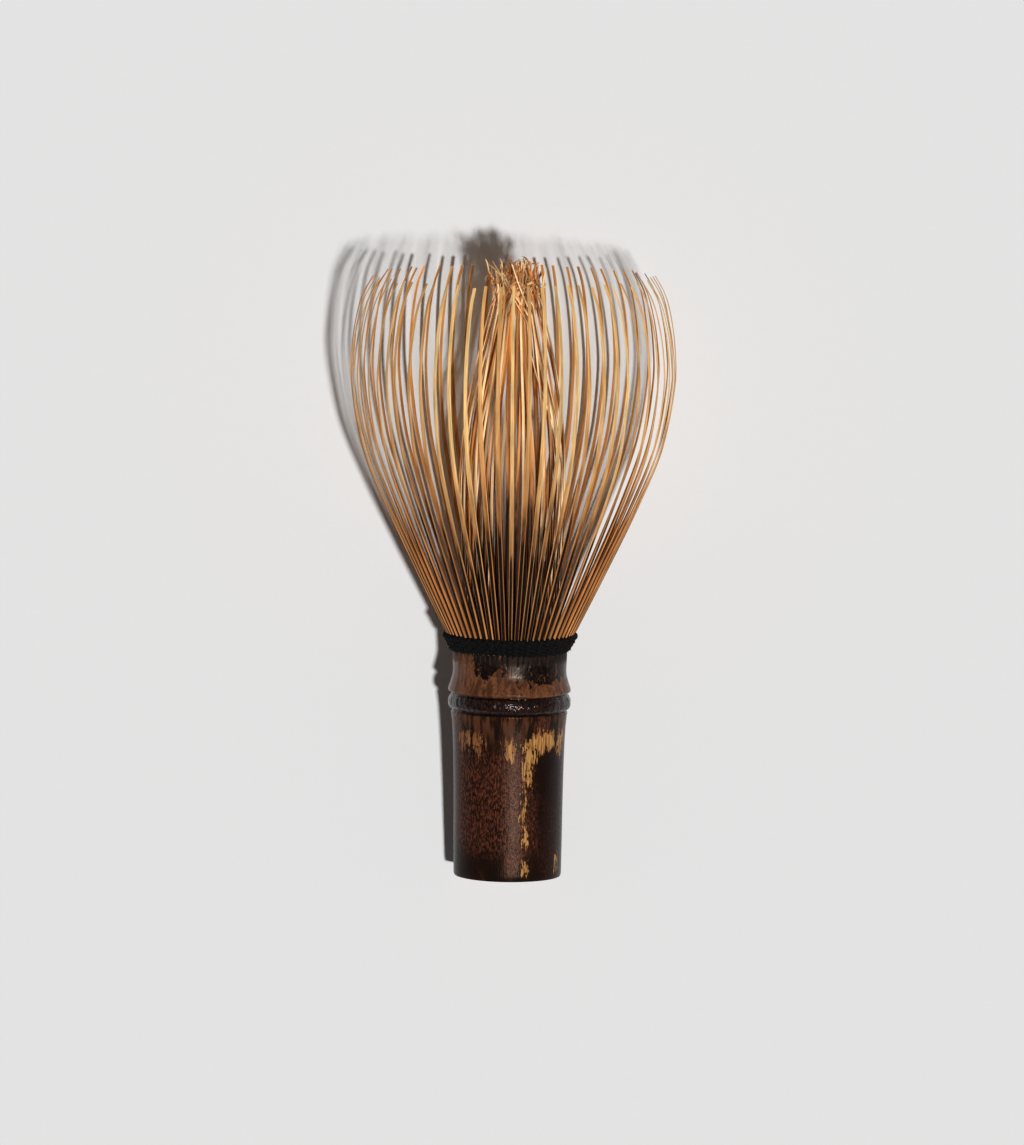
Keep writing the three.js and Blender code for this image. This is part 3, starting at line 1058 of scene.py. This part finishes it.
def add_strand(sheet, row_z, thickness, phase, draw):
    """One strand round the whisk, in front of one tine and behind the next."""
    turn = np.arange(THREAD_STEPS) / THREAD_STEPS * 2 * np.pi
    wave = turn * TINE_COUNT / 2 + phase
    wander = 0.07 * np.sin(turn * 3 + draw.uniform(0, 6)) + 0.05 * np.sin(turn * 11 + draw.uniform(0, 6))
    uneven = 0.05 * np.sin(turn * 7 + draw.uniform(0, 6)) * np.sin(turn * 17 + draw.uniform(0, 6))
    front = outer_surface_radius(row_z) + thickness * 0.75 + uneven
    behind = outer_surface_radius(row_z) - BEHIND - thickness
    swing = np.sign(np.cos(wave)) * np.abs(np.cos(wave)) ** 0.5  # crosses quickly from the front to behind
    radius = (front + behind) / 2 + (front - behind) / 2 * swing
    height = row_z + 0.22 * np.sin(wave) + wander
    path = np.stack([radius * np.cos(turn), radius * np.sin(turn), height], axis=1)
    tube(sheet, path, thickness, THREAD_SIDES, closed=True)


def add_hair(sheet, draw):
    """A loose end of the cotton, standing off a row."""
    row_z, thickness = draw.choice(THREAD_ROWS)
    azimuth = draw.uniform(0, 2 * math.pi)
    out = np.array([math.cos(azimuth), math.sin(azimuth), 0.0])
    start = out * (outer_surface_radius(row_z) + thickness) + np.array([0, 0, row_z + draw.gauss(0, 0.2)])
    heading = unit(out * draw.uniform(0.2, 1.0) + np.array([draw.gauss(0, 0.7) for _ in range(3)]))
    hair = hook(start, heading, draw.uniform(0.07, 0.13), draw.uniform(0.1, 0.5), HAIR_STATIONS, draw)
    tube(sheet, np.concatenate([start[None, :], hair]), HAIR_RADIUS, HAIR_SIDES, closed=False)


def add_thread(material):
    """Rows of twining. The two strands of a row cross between each tine and the next."""
    sheet = Sheet()
    draw = random.Random(SEED + 2)
    for row_z, thickness in THREAD_ROWS:
        for phase in (0, math.pi):
            add_strand(sheet, row_z, thickness, phase, draw)
    for _ in range(HAIR_COUNT):
        add_hair(sheet, draw)
    replaced = ["thread_outer", "thread_inner"]
    sheet.piece("binding_thread", "culm", "thread", [material], replaced, sharp_deg=80)


# ---------------------------------------------------------------- the scene

bpy.context.scene.view_settings.view_transform = "Standard"
add_camera()
add_world()
for sun_name, (towards, strength, width_deg) in SUNS.items():
    add_sun(sun_name, towards, strength, width_deg)
add_backdrop()

handle_skin = skin_material("smoked_skin", 0.075, (1.0, 0.66, 0.50, 1.0), roughness=0.27, relief=0.07)
node_skin = skin_material("smoked_node_skin", 0.19, (1.0, 0.92, 0.88, 1.0), roughness=0.30, relief=0.06)
collar_skin = skin_material("smoked_collar_skin", 0.13, (1.0, 0.76, 0.62, 1.0), roughness=0.25, relief=0.05)
add_culm([handle_skin, cut_material(), node_skin, collar_skin])

# On the outer tines the darker inner face is partly painted shade
add_outer_tines(tine_material("tine_bamboo", *OUTER_TINE_COLOURS, smoke_and_shade_end=24.0, stain_and_shade=0.0,
                              variety=0.5, roughness=0.42, specular=0.10))
# On the inner tines the black near the root, the darkening of most tines and the dark inner face are partly
# painted shade
add_inner_tines(tine_material("inner_tine_bamboo", *INNER_TINE_COLOURS, smoke_and_shade_end=27.0, stain_and_shade=0.8,
                              variety=1.0, roughness=0.66, specular=0.08))
add_thread(thread_material())
